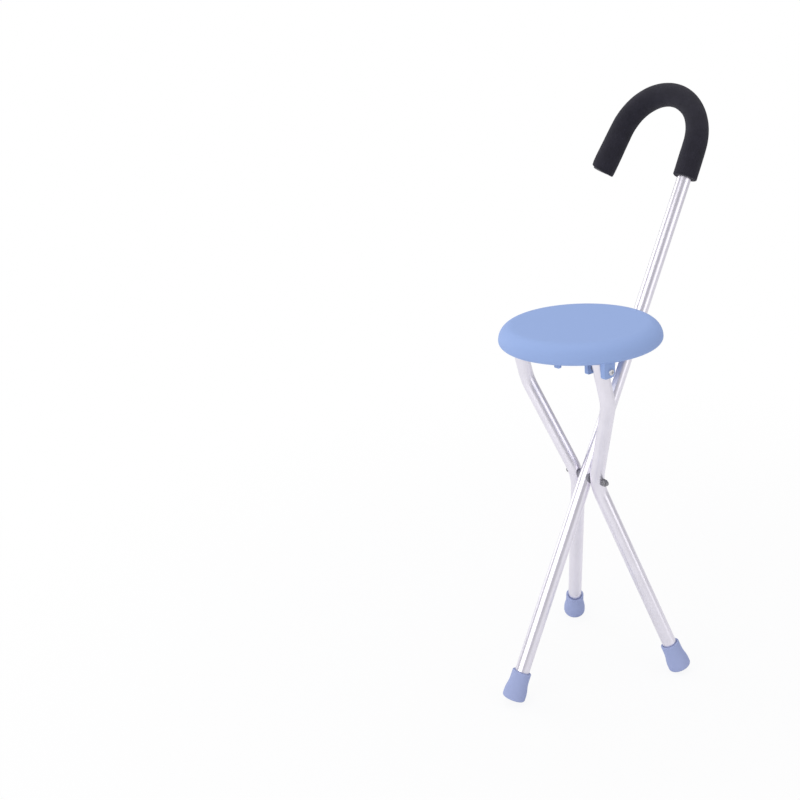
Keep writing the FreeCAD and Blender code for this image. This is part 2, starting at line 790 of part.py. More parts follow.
def build_seat():
    """Moulded seat: dished shell, clevises for the legs, clip, saddle, hooks and ribs."""
    shell = piece("seat_shell")
    rim = dim("seat_rim_radius")
    wall = dim("seat_wall")
    top = dim("seat_top")
    skirt = dim("seat_skirt_bottom")
    inner = seat_radius - wall
    lip = dim("seat_lip_diameter") / 2
    inset = seat_radius - lip
    drop = rim_level - skirt
    curl = (inset * inset + drop * drop) / (inset * 2)
    corners = [
        (0, top),
        (0, ceiling),
        (flat_radius, ceiling),
        (inner, rim_level, rim - wall),
        (lip - 1.9, skirt + 1.1),
        (lip - 1.9, skirt),
        (lip, skirt),
        (seat_radius, rim_level, -curl),
        (flat_radius, top, -rim),
    ]
    turn(shell, "shell_moulding", corners)

    # ears of the two clevises, either side of each leg
    front = seat_hinge - dim("ear_front")
    back = seat_hinge + dim("ear_back")
    drop = -dim("ear_drop")
    toe = 2.0
    heel = 6.0
    ear = [
        (front, root_level),
        (front, drop + toe),
        (front + toe, drop, -toe),
        (back - heel, drop),
        (back, drop + heel, -heel),
        (back, root_level),
    ]
    half_gap = dim("ear_gap") / 2
    ears = (
        ("outer", half_spacing + half_gap, dim("outer_ear")),
        ("inner", half_spacing - half_gap - dim("inner_ear"), dim("inner_ear")),
    )
    for ear_name, station, thickness in ears:
        for side, sign in (("right", 1), ("left", -1)):
            name = f"{side}_{ear_name}_ear"
            outline = sketch_on(shell, "YZ_Plane", f"{name}_outline", lift=station * sign)
            add_outline(outline, ear)
            pad(shell, outline, name, thickness, reverse=sign < 0)

    # clip: two lugs either side of a slot that takes the folded cane
    slot = dim("clip_slot") / 2
    lug = dim("clip_width") / 2
    clip_drop = -dim("clip_drop")
    clip_toe = 2.5
    clip = [
        (-lug, root_level),
        (-lug, clip_drop + clip_toe),
        (clip_toe - lug, clip_drop, -clip_toe),
        (-slot, clip_drop),
        (-slot, 0),
        (0, slot, slot),
        (slot, 0, slot),
        (slot, clip_drop),
        (lug - clip_toe, clip_drop),
        (lug, clip_drop + clip_toe, -clip_toe),
        (lug, root_level),
    ]
    outline = sketch_on(shell, "XZ_Plane", "clip_outline", lift=dim("clip_front"))
    add_outline(outline, clip)
    pad(shell, outline, "clip", dim("clip_thickness"), reverse=True)

    # saddle that the folded cane bears against
    half_saddle = dim("saddle_width") / 2
    bottom = dim("saddle_bottom")
    saddle = [
        (-half_saddle, root_level),
        (-half_saddle, bottom),
        (half_saddle, bottom),
        (half_saddle, root_level),
    ]
    outline = sketch_on(shell, "XZ_Plane", "saddle_outline", lift=-dim("saddle_station"))
    add_outline(outline, saddle)
    pad(shell, outline, "saddle", dim("clip_thickness"), symmetric=True)

    # hooks behind the catch pin, open to the front and below
    hook = [
        (86.0, root_level),
        (86.0, 16.0),
        (93.0, 7.85),
        (102.0, 7.85),
        (104.85, 5.0, 2.85),
        (105.1, -2.5),
        (111.0, -2.5),
        (111.0, 10.0),
        (104.5, 16.0),
        (104.5, root_level),
    ]
    half_hook_gap = dim("hook_gap") / 2
    for side, sign in (("right", 1), ("left", -1)):
        name = f"{side}_hook"
        outline = sketch_on(shell, "YZ_Plane", f"{name}_outline", lift=half_hook_gap * sign)
        add_outline(outline, hook)
        pad(shell, outline, name, dim("hook_thickness"), reverse=sign < 0)

    # whatever pokes through the rounded rim goes
    outside = [
        (flat_radius, top),
        (seat_radius, rim_level, rim),
        (seat_radius + rim, rim_level),
        (seat_radius + rim, top),
    ]
    turn(shell, "rim_trim", outside, groove=True)

    # stiffening ribs
    floor = dim("rib_bottom")
    rib = [
        (12, floor),
        (90, floor),
        (seat_radius - 1.7, floor - 3),
        (seat_radius - 4.0, rim_level + 9.0),
        (seat_radius - 9.3, rim_level + 14.5),
        (flat_radius, root_level),
        (12, root_level),
    ]
    outline = sketch_on(shell, "XZ_Plane", "rib_outline")
    add_outline(outline, rib)
    first_rib = pad(shell, outline, "rib", dim("rib_thickness"), symmetric=True)
    doc.recompute()
    ribs = shell.newObject("PartDesign::PolarPattern", "ribs")
    ribs.Originals = [first_rib]
    ribs.Axis = (origin_plane(shell, "Z_Axis"), [""])
    ribs.Angle = 360
    ribs.Occurrences = 12
    shell.Tip = ribs
    for name, ring_inner, ring_outer in (("boss", 11.0, 14.0), ("ring", 53.8, 56.2)):
        ring = [
            (ring_inner, floor),
            (ring_outer, floor),
            (ring_outer, root_level),
            (ring_inner, root_level),
        ]
        turn(shell, name, ring)

    # notch in the rear of the rim for the leaning cane
    lean = dim("notch_lean")
    notch = dim("notch_diameter") / 2
    front_line = dim("notch_front") * cosine(lean) - skirt * sine(lean)
    notch_back = front_line + 50
    outline = sketch_on(shell, "XY_Plane", "notch_outline", tilt=-lean.value)
    corners = [
        (-notch, notch_back),
        (-notch, front_line + notch),
        (0, front_line, -notch),
        (notch, front_line + notch, -notch),
        (notch, notch_back),
    ]
    add_outline(outline, corners)
    cut(shell, outline, "notch")

    # screw holes and the recesses that keep the nuts from turning
    drill(shell, "YZ_Plane", "screw_holes", screw_bore, (seat_hinge, 0))
    recess_face = half_spacing - half_gap - dim("inner_ear")
    for side, sign in (("right", 1), ("left", -1)):
        name = f"{side}_nut_recess"
        outline = sketch_on(shell, "YZ_Plane", f"{name}_hexagon", lift=recess_face * sign)
        add_outline(outline, hexagon(dim("hinge_nut_width") + 0.2, (seat_hinge, 0)))
        cut(shell, outline, name, dim("hinge_nut_recess"), reverse=sign > 0)
    place(shell, SEAT)


def build_hinge_fasteners():
    """Screws, nuts and washers of the two clevises."""
    frame = SEAT * Placement(Vector(0, seat_hinge.value, 0), Rotation())
    radius = dim("screw_diameter") / 2
    half_gap = dim("ear_gap") / 2
    outer_face = half_spacing + half_gap + dim("outer_ear")
    inner_face = half_spacing - half_gap - dim("inner_ear")

    screws = piece("hinge_screws")
    screws.AllowCompound = True
    head = dim("screw_head_diameter") / 2
    head_height = dim("screw_head_height")
    crown = 1.6
    tip = 0.6
    end = outer_face - dim("screw_length")
    corners = [
        (0, outer_face + head_height),
        (0, end),
        (radius - tip, end),
        (radius, end + tip),
        (radius, outer_face),
        (head, outer_face),
        (head, outer_face + head_height - crown),
        (head - crown, outer_face + head_height, -1.7),
    ]
    blank = turn(screws, "screw_blank", corners, along="X")
    recess = sketch_on(screws, "YZ_Plane", "screw_recess_cross", lift=outer_face + head_height)
    arm = 2.3
    waist = 0.55
    cross = [
        (waist, waist), (waist, arm), (-waist, arm), (-waist, waist),
        (-arm, waist), (-arm, -waist), (-waist, -waist), (-waist, -arm),
        (waist, -arm), (waist, -waist), (arm, -waist), (arm, waist),
    ]
    add_outline(recess, cross)
    recessed = cut(screws, recess, "screw_recess", 1.4)
    mirror(screws, "screw_pair", [blank, recessed])
    place(screws, frame)

    nuts = piece("hinge_nuts")
    nuts.AllowCompound = True
    height = dim("hinge_nut_height")
    base = inner_face + dim("hinge_nut_recess") - height
    made = build_nut(nuts, "hinge_nut", dim("hinge_nut_width"), height, radius, base)
    mirror(nuts, "hinge_nut_pair", made)
    place(nuts, frame)

    washers = piece("hinge_washers")
    washers.AllowCompound = True
    thickness = dim("hinge_washer_thickness")
    rim = dim("hinge_washer_diameter") / 2
    stamped = []
    faces = (half_spacing + half_gap - thickness, half_spacing - half_gap)
    for index, face in enumerate(faces):
        back = face + thickness
        corners = [(screw_bore, face), (rim, face), (rim, back), (screw_bore, back)]
        stamped.append(turn(washers, f"hinge_washer_{index}", corners, along="X"))
    mirror(washers, "hinge_washer_pair", stamped)
    place(washers, frame)


build_cane()
build_catch()
build_pivot()
build_leg("left", LEFT_LEG)
build_leg("right", RIGHT_LEG)
build_seat()
build_hinge_fasteners()
doc.recompute()

for item in doc.Objects:
    if "Invalid" in item.State or "Error" in item.State:
        raise RuntimeError(f"{item.Label} did not compute: {item.State}")

os.makedirs("parts", exist_ok=True)
for name, body in pieces.items():
    shape = body.Shape
    if shape.isNull() or not shape.isValid() or not shape.Solids:
        raise RuntimeError(f"{name} is not a sound solid")
    shape.exportStep(f"parts/{name}.step")
    box = shape.BoundBox
    print(
        f"{name}: {len(shape.Solids)} solid(s), {shape.Volume / 1000:.2f} cm3, "
        f"x {box.XMin:.1f}..{box.XMax:.1f}, y {box.YMin:.1f}..{box.YMax:.1f}, "
        f"z {box.ZMin:.1f}..{box.ZMax:.1f}"
    )
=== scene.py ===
"""Looks of the walking stick seat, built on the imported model.

The stool stands unfolded on z = 0, in metres.  X runs along the pivot bolt, the cane's foot is
at the front (-Y) and its foam-covered crook leans to the back (+Y).
"""

import json
import logging
import math
from dataclasses import dataclass
from enum import Enum
from typing import Sequence, Union

import bpy
from mathutils import Matrix, Vector, noise

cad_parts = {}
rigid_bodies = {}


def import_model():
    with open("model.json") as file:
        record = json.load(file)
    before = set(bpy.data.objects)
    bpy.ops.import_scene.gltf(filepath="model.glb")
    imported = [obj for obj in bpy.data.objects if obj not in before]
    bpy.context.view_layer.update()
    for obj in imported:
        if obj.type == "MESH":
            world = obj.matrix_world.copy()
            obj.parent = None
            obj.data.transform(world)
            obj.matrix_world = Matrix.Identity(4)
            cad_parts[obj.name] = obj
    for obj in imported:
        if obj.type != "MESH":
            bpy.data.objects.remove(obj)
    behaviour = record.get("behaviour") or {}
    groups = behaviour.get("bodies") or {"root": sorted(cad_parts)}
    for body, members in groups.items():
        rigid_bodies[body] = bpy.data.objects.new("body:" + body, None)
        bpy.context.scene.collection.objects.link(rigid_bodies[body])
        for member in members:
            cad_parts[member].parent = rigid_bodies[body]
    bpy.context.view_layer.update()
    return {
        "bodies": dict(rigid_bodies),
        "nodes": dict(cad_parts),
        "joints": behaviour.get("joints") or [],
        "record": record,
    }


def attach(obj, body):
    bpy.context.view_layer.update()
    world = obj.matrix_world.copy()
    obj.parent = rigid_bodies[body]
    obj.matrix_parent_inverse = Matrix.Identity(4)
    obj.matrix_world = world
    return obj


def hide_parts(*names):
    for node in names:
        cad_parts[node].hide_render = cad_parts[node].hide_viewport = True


log = logging.getLogger("stick_seat")

MM = 0.001

Colour = tuple[float, float, float]


def srgb(red: int, green: int, blue: int) -> Colour:
    """Linear colour of an 8-bit screen colour.

    Args:
        red: Red, 0 to 255.
        green: Green, 0 to 255.
        blue: Blue, 0 to 255.

    Returns:
        The linear red, green and blue.
    """

    def linear(level: int) -> float:
        """Linear level of one channel."""
        share = level / 255
        return share / 12.92 if share <= 0.04045 else ((share + 0.055) / 1.055) ** 2.4

    return linear(red), linear(green), linear(blue)


def smoothstep(low: float, high: float, value: float) -> float:
    """Smooth rise from 0 at low to 1 at high."""
    share = min(max((value - low) / (high - low), 0.0), 1.0)
    return share * share * (3 - 2 * share)


Operand = Union["Signal", float, Sequence[float]]


@dataclass(frozen=True)
class Signal:
    """A shader socket that Python arithmetic can build on.

    Attributes:
        graph: The graph that the socket's node is in.
        socket: The output socket.
    """

    graph: "ShaderGraph"
    socket: bpy.types.NodeSocket

    def _math(self, operation: str, *operands: Operand) -> "Signal":
        """A Math node on these operands."""
        inputs = dict(enumerate(operands))
        return self.graph.node("ShaderNodeMath", {"operation": operation}, inputs)

    def __add__(self, other: Operand) -> "Signal":
        """Sum."""
        return self._math("ADD", self, other)

    def __radd__(self, other: Operand) -> "Signal":
        """Sum, number first."""
        return self._math("ADD", other, self)

    def __sub__(self, other: Operand) -> "Signal":
        """Difference."""
        return self._math("SUBTRACT", self, other)

    def __rsub__(self, other: Operand) -> "Signal":
        """Difference, number first."""
        return self._math("SUBTRACT", other, self)

    def __mul__(self, other: Operand) -> "Signal":
        """Product."""
        return self._math("MULTIPLY", self, other)

    def __rmul__(self, other: Operand) -> "Signal":
        """Product, number first."""
        return self._math("MULTIPLY", other, self)

    def ramp(self, low: float, high: float, start: float = 0.0, end: float = 1.0) -> "Signal":
        """Smooth change from start to end as this value goes from low to high.

        Args:
            low: Value at which the result leaves start.
            high: Value at which the result reaches end.
            start: Result below low.
            end: Result above high.

        Returns:
            The smoothed value.
        """
        settings = {"interpolation_type": "SMOOTHSTEP"}
        inputs = {"Value": self, "From Min": low, "From Max": high, "To Min": start, "To Max": end}
        return self.graph.node("ShaderNodeMapRange", settings, inputs)


class ShaderGraph:
    """The node tree of one material or world."""

    def __init__(self, name: str, world: bool = False) -> None:
        """A material or world whose node tree is empty.

        Args:
            name: Its name.
            world: Whether it is the world.
        """
        self.holder = (bpy.data.worlds if world else bpy.data.materials).new(name)
        self.holder.use_nodes = True
        self.kind = "World" if world else "Material"
        self.tree = self.holder.node_tree
        self.tree.nodes.clear()

    def node(
        self,
        kind: str,
        settings: dict[str, object] | None = None,
        inputs: dict[int | str, Operand] | None = None,
        output: int | str = 0,
    ) -> Signal:
        """Any node, set up and wired.

        Args:
            kind: The node's type.
            settings: Its own settings, such as a Math node's operation.
            inputs: Values or signals for its sockets, by index or name.
            output: The socket to return, by index or name.

        Returns:
            The chosen output.
        """
        made = self.tree.nodes.new(kind)
        for key, value in (settings or {}).items():
            setattr(made, key, value)
        for key, value in (inputs or {}).items():
            socket = made.inputs[key]
            if isinstance(value, Signal):
                self.tree.links.new(value.socket, socket)
            elif isinstance(value, (int, float)):
                socket.default_value = value
            else:
                socket.default_value = (*value, 1.0) if socket.type == "RGBA" else value
        return Signal(self, made.outputs[output]) if made.outputs else Signal(self, None)

    def place_mm(
        self, rotation: Sequence[float] = (0, 0, 0), stretch: Sequence[float] = (1, 1, 1)
    ) -> Signal:
        """The point on the piece in millimetres, in the frame it was built in.

        Args:
            rotation: Turn of the pattern's axes, in radians.
            stretch: Extra scale along each axis after the turn; under 1 draws a pattern out.

        Returns:
            The vector.
        """
        object_point = self.node("ShaderNodeTexCoord", output="Object")
        inputs = {"Vector": object_point, "Rotation": rotation}
        turned = self.node("ShaderNodeMapping", {"vector_type": "TEXTURE"}, inputs)
        scale = tuple(1000 * share for share in stretch)
        return self.node("ShaderNodeVectorMath", {"operation": "MULTIPLY"}, {0: turned, 1: scale})

    def noise(
        self, place: Signal, size_mm: float, detail: float = 2.0, rough: float = 0.5
    ) -> Signal:
        """Soft noise, 0 to 1, in patches of size_mm with finer octaves of strength rough."""
        inputs = {"Vector": place, "Scale": 1 / size_mm, "Detail": detail, "Roughness": rough}
        return self.node("ShaderNodeTexNoise", inputs=inputs)

    def cells(self, place: Signal, size_mm: float) -> Signal:
        """Distance to the nearest of many scattered points, such as a foam's pores."""
        return self.node("ShaderNodeTexVoronoi", inputs={"Vector": place, "Scale": 1 / size_mm})

    def mix(self, first: Operand, second: Operand, factor: Operand) -> Signal:
        """Colour between two colours; factor is the share of the second."""
        inputs = {0: factor, 6: first, 7: second}
        return self.node("ShaderNodeMix", {"data_type": "RGBA"}, inputs, output=2)

    def bump(self, height_mm: Signal, strength: float = 1.0) -> Signal:
        """Normal of a surface raised by this height, at this share of the effect."""
        inputs = {"Height": height_mm, "Distance": MM, "Strength": strength}
        return self.node("ShaderNodeBump", inputs=inputs)

    def surface(self, **sockets: Operand) -> bpy.types.Material:
        """Finish the material with a Principled shader.

        Args:
            **sockets: Its sockets by name, with _ for a space.

        Returns:
            The material.
        """
        named = {name.replace("_", " "): value for name, value in sockets.items()}
        shader = self.node("ShaderNodeBsdfPrincipled", inputs=named)
        return self.output(shader)

    def output(self, shader: Signal) -> bpy.types.Material | bpy.types.World:
        """Wire a shader to the output."""
        self.node(f"ShaderNodeOutput{self.kind}", inputs={"Surface": shader})
        return self.holder


@dataclass(frozen=True)
class AnodisedTube:
    """Satin anodised aluminium tube with faint die lines along it.

    Attributes:
        name: Material name.
        lean: Turn about X that lines the pattern up with the tube, in radians.
        splay: Turn about Y that lines the pattern up with the tube, in radians.
        colour: Base colour.
        roughness: Mean roughness.
    """

    name: str
    lean: float
    splay: float = 0.0
    colour: Colour = (0.92, 0.895, 0.955)
    roughness: float = 0.30

    def build(self) -> bpy.types.Material:
        """Make the material.

        Returns:
            The material.
        """
        graph = ShaderGraph(self.name)
        along = graph.place_mm((self.lean, self.splay, 0), (1, 1, 0.012))
        lines = graph.noise(along, 1.6, 3.0, 0.6)
        clouds = graph.noise(graph.place_mm(), 28, 2.0)
        handling = graph.noise(graph.place_mm(), 3.5, 4.0, 0.65).ramp(0.56, 0.72)
        shade = clouds.ramp(0.3, 0.7) * 0.5 + lines * 0.5
        darker = tuple(level * 0.93 for level in self.colour)
        base = graph.mix(darker, self.colour, shade)
        rough = self.roughness + (lines - 0.5) * 0.10 + handling * 0.07
        normal = graph.bump(lines * 0.005 + clouds * 0.02)
        return graph.surface(Base_Color=base, Metallic=1.0, Roughness=rough, Normal=normal)


@dataclass(frozen=True)
class ClosedCellFoam:
    """Matt black grip foam, finely pored, with painted shade in the pores.

    Attributes:
        name: Material name.
        colour: Colour of the skin.
        pore_shade: Painted shade in the pores, a darker colour that stands in for the shade inside
            each hollow.
    """

    name: str
    colour: Colour = srgb(38, 37, 46)
    pore_shade: Colour = srgb(17, 16, 22)

    def build(self) -> bpy.types.Material:
        """Make the material.

        Returns:
            The material.
        """
        graph = ShaderGraph(self.name)
        place = graph.place_mm()
        pores = 1 - graph.cells(place, 0.85).ramp(0.12, 0.5)
        skin = graph.noise(place, 14, 3.0)
        grain = graph.noise(place, 0.5, 2.0)
        lighter = tuple(level * 1.25 for level in self.colour)
        clouded = graph.mix(self.colour, lighter, skin.ramp(0.35, 0.7))
        # Painted shade: the pore mask mixes in a darker colour that stands in for the shade inside
        # each pore.
        base = graph.mix(clouded, self.pore_shade, pores * 0.75)
        rough = 0.80 + grain * 0.14
        normal = graph.bump(grain * 0.10 - pores * 0.16 + skin * 0.15)
        return graph.surface(
            Base_Color=base,
            Roughness=rough,
            Normal=normal,
            Specular_IOR_Level=0.22,
            Sheen_Weight=0.06,
        )


@dataclass(frozen=True)
class MouldedPlastic:
    """Moulded plastic with a fine spark-eroded grain.

    Attributes:
        name: Material name.
        colour: Base colour.
        roughness: Mean roughness.
        grain_mm: Size of the grain.
        grain_height: Depth of the grain, in millimetres.
    """

    name: str
    colour: Colour
    roughness: float = 0.42
    grain_mm: float = 0.6
    grain_height: float = 0.035

    def build(self) -> bpy.types.Material:
        """Make the material.

        Returns:
            The material.
        """
        graph = ShaderGraph(self.name)
        place = graph.place_mm()
        grain = graph.noise(place, self.grain_mm, 3.0, 0.6)
        flow = graph.noise(place, 45, 2.0)
        scuffs = graph.noise(place, 2.2, 4.0, 0.7).ramp(0.60, 0.72)
        shade = flow.ramp(0.25, 0.75)
        darker = tuple(level * 0.95 for level in self.colour)
        base = graph.mix(darker, self.colour, shade)
        rough = self.roughness + (grain - 0.5) * 0.12 + scuffs * 0.06
        normal = graph.bump(grain * self.grain_height + flow * 0.05)
        return graph.surface(
            Base_Color=base, Roughness=rough, Normal=normal, Coat_Weight=0.2, Coat_Roughness=0.35
        )


@dataclass(frozen=True)
class MouldedRubber:
    """Satin rubber of the ferrules, a little dusty.

    Attributes:
        name: Material name.
        colour: Base colour.
        dust: Colour of the bloom on it.
        roughness: Mean roughness.
    """

    name: str
    colour: Colour
    dust: Colour
    roughness: float = 0.5

    def build(self) -> bpy.types.Material:
        """Make the material.

        Returns:
            The material.
        """
        graph = ShaderGraph(self.name)
        place = graph.place_mm()
        bloom = graph.noise(place, 7, 4.0, 0.6).ramp(0.42, 0.72)
        grain = graph.noise(place, 0.4, 3.0)
        base = graph.mix(self.colour, self.dust, bloom * 0.4)
        rough = self.roughness + bloom * 0.15 + (grain - 0.5) * 0.1
        normal = graph.bump(grain * 0.04 + bloom * 0.03)
        return graph.surface(Base_Color=base, Roughness=rough, Normal=normal)


@dataclass(frozen=True)
class Hardware:
    """Turned or pressed metal part, plated or blackened.

    Attributes:
        name: Material name.
        colour: Base colour.
        worn: Colour where it is rubbed.
        metallic: How metallic the finish is.
        roughness: Mean roughness.
        wear: Share of the surface that is rubbed.
    """

    name: str
    colour: Colour
    worn: Colour
    metallic: float = 1.0
    roughness: float = 0.3
    wear: float = 0.3

    def build(self) -> bpy.types.Material:
        """Make the material.

        Returns:
            The material.
        """
        graph = ShaderGraph(self.name)
        place = graph.place_mm()
        rings = graph.noise(graph.place_mm(stretch=(3.0, 0.4, 0.4)), 0.35, 2.0)
        low, high = 0.72 - self.wear * 0.4, 0.85 - self.wear * 0.3
        rub = graph.noise(place, 1.8, 4.0, 0.65).ramp(low, high)
        base = graph.mix(self.colour, self.worn, rub)
        rough = self.roughness + (rings - 0.5) * 0.16 + rub * 0.08
        normal = graph.bump(rings * 0.01)
        return graph.surface(
            Base_Color=base, Metallic=self.metallic, Roughness=rough, Normal=normal
        )


class Finish(Enum):
    """The finishes of this object's pieces."""

    CANE = AnodisedTube("anodised_cane", lean=math.radians(-28.7))
    LEFT_LEG = AnodisedTube("anodised_left_leg", lean=math.radians(13.45))
    RIGHT_LEG = AnodisedTube("anodised_right_leg", lean=math.radians(13.45))
    FOAM = ClosedCellFoam("grip_foam")
    CAP = MouldedPlastic("cap_plastic", srgb(52, 52, 56), roughness=0.6)
    SEAT = MouldedPlastic("seat_plastic", srgb(134, 160, 222))
    FERRULE = MouldedRubber("ferrule_rubber", srgb(168, 196, 252), srgb(190, 207, 248))
    DULL_STEEL = Hardware("dull_steel", (0.26, 0.255, 0.27), (0.40, 0.40, 0.41), roughness=0.42)
    BRIGHT_STEEL = Hardware("bright_steel", (0.62, 0.62, 0.64), (0.78, 0.78, 0.8))
    NYLON = MouldedPlastic("grey_nylon", srgb(138, 137, 146), roughness=0.5, grain_mm=0.4)

    def material(self) -> bpy.types.Material:
        """The finish's material, made the first time it is asked for."""
        known = bpy.data.materials.get(self.value.name)
        return known or self.value.build()


@dataclass
class SubAssembly:
    """A group of pieces that one body carries.

    Attributes:
    """

    frame: dict

    def dress(self, node: str, finish: Finish) -> bpy.types.Object:
        """Give a CAD node its material.

        Args:
            node: The node's name.
            finish: Its finish.

        Returns:
            The node's object.
        """
        piece = self.frame["nodes"][node]
        piece.data.materials.clear()
        piece.data.materials.append(finish.material())
        log.info("%s dressed in %s", node, finish.value.name)
        return piece


class Surface(Enum):
    """The parts of the foam's closed section."""

    SKIN = "skin"
    MOUTH = "mouth"
    BORE = "bore"


@dataclass(frozen=True)
class Station:
    """Cross-section of the foam at one place along it; lengths in millimetres.

    Attributes:
        run: Distance from the lower end.
        radius: Radius of the skin.
        drift: How far the skin's centre lies outside the tube's; negative on the crook's inside.
    """

    run: float
    radius: float
    drift: float


@dataclass
class FoamGrip(SubAssembly):
    """Foam tube drawn over the cane's crook; lengths in millimetres.

    The foam is stretched thin over the outside of the bend, bunches up inside it, and swells
    towards its free end, where it laps over the cap and runs on further on the inner side.

    Attributes:
        bolt_height: Height of the pivot bolt.
        lean: Lean of the cane.
        start: Where the foam starts, from the bolt, along the cane.
        straight: Length of its straight lower run.
        crook_radius: Radius of the crook's centre line.
        crook_arc: Turn of the crook.
        tail: Length of the straight run at the free end.
        bore: Radius of its bore.
        pocket: Radius of the foam round the cap's head.
        overrun: How much further the inner side runs at the free end.
        rounding: Length over which the outer side rounds off at the free end.
        rounding_depth: How far it falls there.
        segments: Points around.
        step: Distance between rings of the skin.
        bore_step: Distance between rings of the bore.
        tilt_run: Length over which the end tilts to the inner side.
        stations: Sections of the skin, in order.
    """

    bolt_height: float = 274.455
    lean: float = math.radians(28.7)
    start: float = 421.0
    straight: float = 47.0
    crook_radius: float = 71.0
    crook_arc: float = math.radians(170)
    tail: float = 62.0
    bore: float = 9.55
    pocket: float = 14.25
    overrun: float = 4.6
    rounding: float = 12.0
    rounding_depth: float = 2.0
    segments: int = 72
    step: float = 1.6
    bore_step: float = 6.0
    tilt_run: float = 30.0
    stations: tuple[Station, ...] = (
        Station(0, 16.5, 0.3),
        Station(40, 16.4, -0.4),
        Station(66, 15.8, -1.6),
        Station(96, 15.1, -2.4),
        Station(124, 15.7, -2.4),
        Station(156, 16.4, -1.1),
        Station(200, 17.05, 0.3),
        Station(262, 17.0, 0.6),
        Station(300, 17.6, 0.8),
        Station(326, 17.5, 0.8),
    )

    @property
    def length(self) -> float:
        """Length of the foam along its centre line."""
        return self.straight + self.crook_radius * self.crook_arc + self.tail

    def to_row(self) -> Matrix:
        """Transform from the cane's plane at the bolt to the row frame.

        Returns:
            The matrix, which takes millimetres to metres.
        """
        scale = Matrix.Scale(MM, 4)
        lift = Matrix.Translation((0, 0, self.bolt_height))
        return scale @ lift @ Matrix.Rotation(-self.lean, 4, "X")

    def centre(self, run: float) -> tuple[Vector, Vector, Vector]:
        """Centre line at a distance along the foam.

        Args:
            run: Distance from the lower end.

        Returns:
            The point, the outward side direction and the heading, in the cane's plane.
        """
        base = self.start + self.straight
        if run < self.straight:
            return Vector((0, 0, self.start + run)), Vector((1, 0, 0)), Vector((0, 0, 1))
        turned = min((run - self.straight) / self.crook_radius, self.crook_arc)
        outward = Vector((math.cos(turned), 0, math.sin(turned)))
        heading = Vector((-math.sin(turned), 0, math.cos(turned)))
        middle = Vector((-self.crook_radius, 0, base))
        beyond = max(run - self.straight - self.crook_radius * self.crook_arc, 0.0)
        return middle + outward * self.crook_radius + heading * beyond, outward, heading

    def skin(self, run: float) -> tuple[float, float]:
        """Radius and drift of the skin, on a smooth curve through the stations.

        Args:
            run: Distance from the lower end.

        Returns:
            The radius and the drift.
        """
        stations = self.stations
        last = len(stations) - 1
        index = max(k for k in range(last) if stations[k].run <= max(run, 0.0))
        low, high = stations[index], stations[index + 1]
        before, after = stations[max(index - 1, 0)], stations[min(index + 2, last)]
        span = high.run - low.run
        share = (run - low.run) / span

        def curve(name: str) -> float:
            """Cubic through two stations, with the slopes of their neighbours.

            Args:
                name: radius or drift.

            Returns:
                Its value at this run.
            """
            start, end = getattr(low, name), getattr(high, name)
            slope_in = (end - getattr(before, name)) / (high.run - before.run) * span
            slope_out = (getattr(after, name) - start) / (after.run - low.run) * span
            rise = end - start
            bow = (1 - share) * (slope_in - rise) - share * (slope_out - rise)
            return start + rise * share + share * (1 - share) * bow

        return curve("radius"), curve("drift")

    def sections(self) -> list[tuple[Surface, float, float]]:
        """The closed section's rings, along the skin and back through the bore.

        Returns:
            Surface, distance from the lower end, and what is added to the skin's radius, or
            the radius itself at the mouth and in the bore.
        """
        skin, mouth, bore = Surface.SKIN, Surface.MOUTH, Surface.BORE
        length = self.length
        edge = [(0.0, -1.7), (0.25, -0.8), (0.8, -0.25), (1.6, 0.0)]
        edge_run = edge[-1][0]
        middle = length - 2 * edge_run
        rings = [(skin, run, fall) for run, fall in edge]
        count = round(middle / self.step)
        rings += [(skin, edge_run + middle * index / count, 0.0) for index in range(1, count)]
        rings += [(skin, length - run, fall) for run, fall in reversed(edge)]
        rings += [(mouth, length, self.pocket + 0.5), (mouth, length - 0.6, self.pocket)]
        rings += [(bore, length - 0.15, self.pocket), (bore, length - 0.2, self.bore)]
        deep = length - 0.2
        count = round(length / self.bore_step)
        rings += [(bore, deep * (1 - index / count), self.bore) for index in range(1, count)]
        rings += [(bore, 0.6, self.bore + 0.1), (bore, 0.0, self.bore + 0.9)]
        return rings

    def point(self, kind: Surface, run: float, size: float, angle: float) -> Vector:
        """One point of the foam, in the cane's plane.

        Args:
            kind: The surface that the point is on.
            run: Distance from the lower end.
            size: What the ring's section says.
            angle: Angle round the tube; 0 is the crook's outside.

        Returns:
            The point.
        """
        middle, outward, heading = self.centre(run)
        around = outward * math.cos(angle) + Vector((0, 1, 0)) * math.sin(angle)
        if kind is Surface.BORE:
            return middle + around * size
        inner = (1 - math.cos(angle)) / 2
        tilt = smoothstep(self.length - self.tilt_run, self.length, run)
        along = heading * (self.overrun * inner * tilt)
        if kind is Surface.MOUTH:
            return middle + around * size + along
        radius, drift = self.skin(run)
        late = max((run - self.length + self.rounding) / self.rounding, 0.0)
        fall = self.rounding_depth * (1 - inner) * (1 - math.sqrt(max(1 - late * late, 0.0)))
        place = middle + outward * drift
        skin = place + around * (radius + size - fall)
        ripple = noise.noise(skin / 17) * 0.16 + noise.noise(skin / 5) * 0.05
        return skin + around * ripple + along

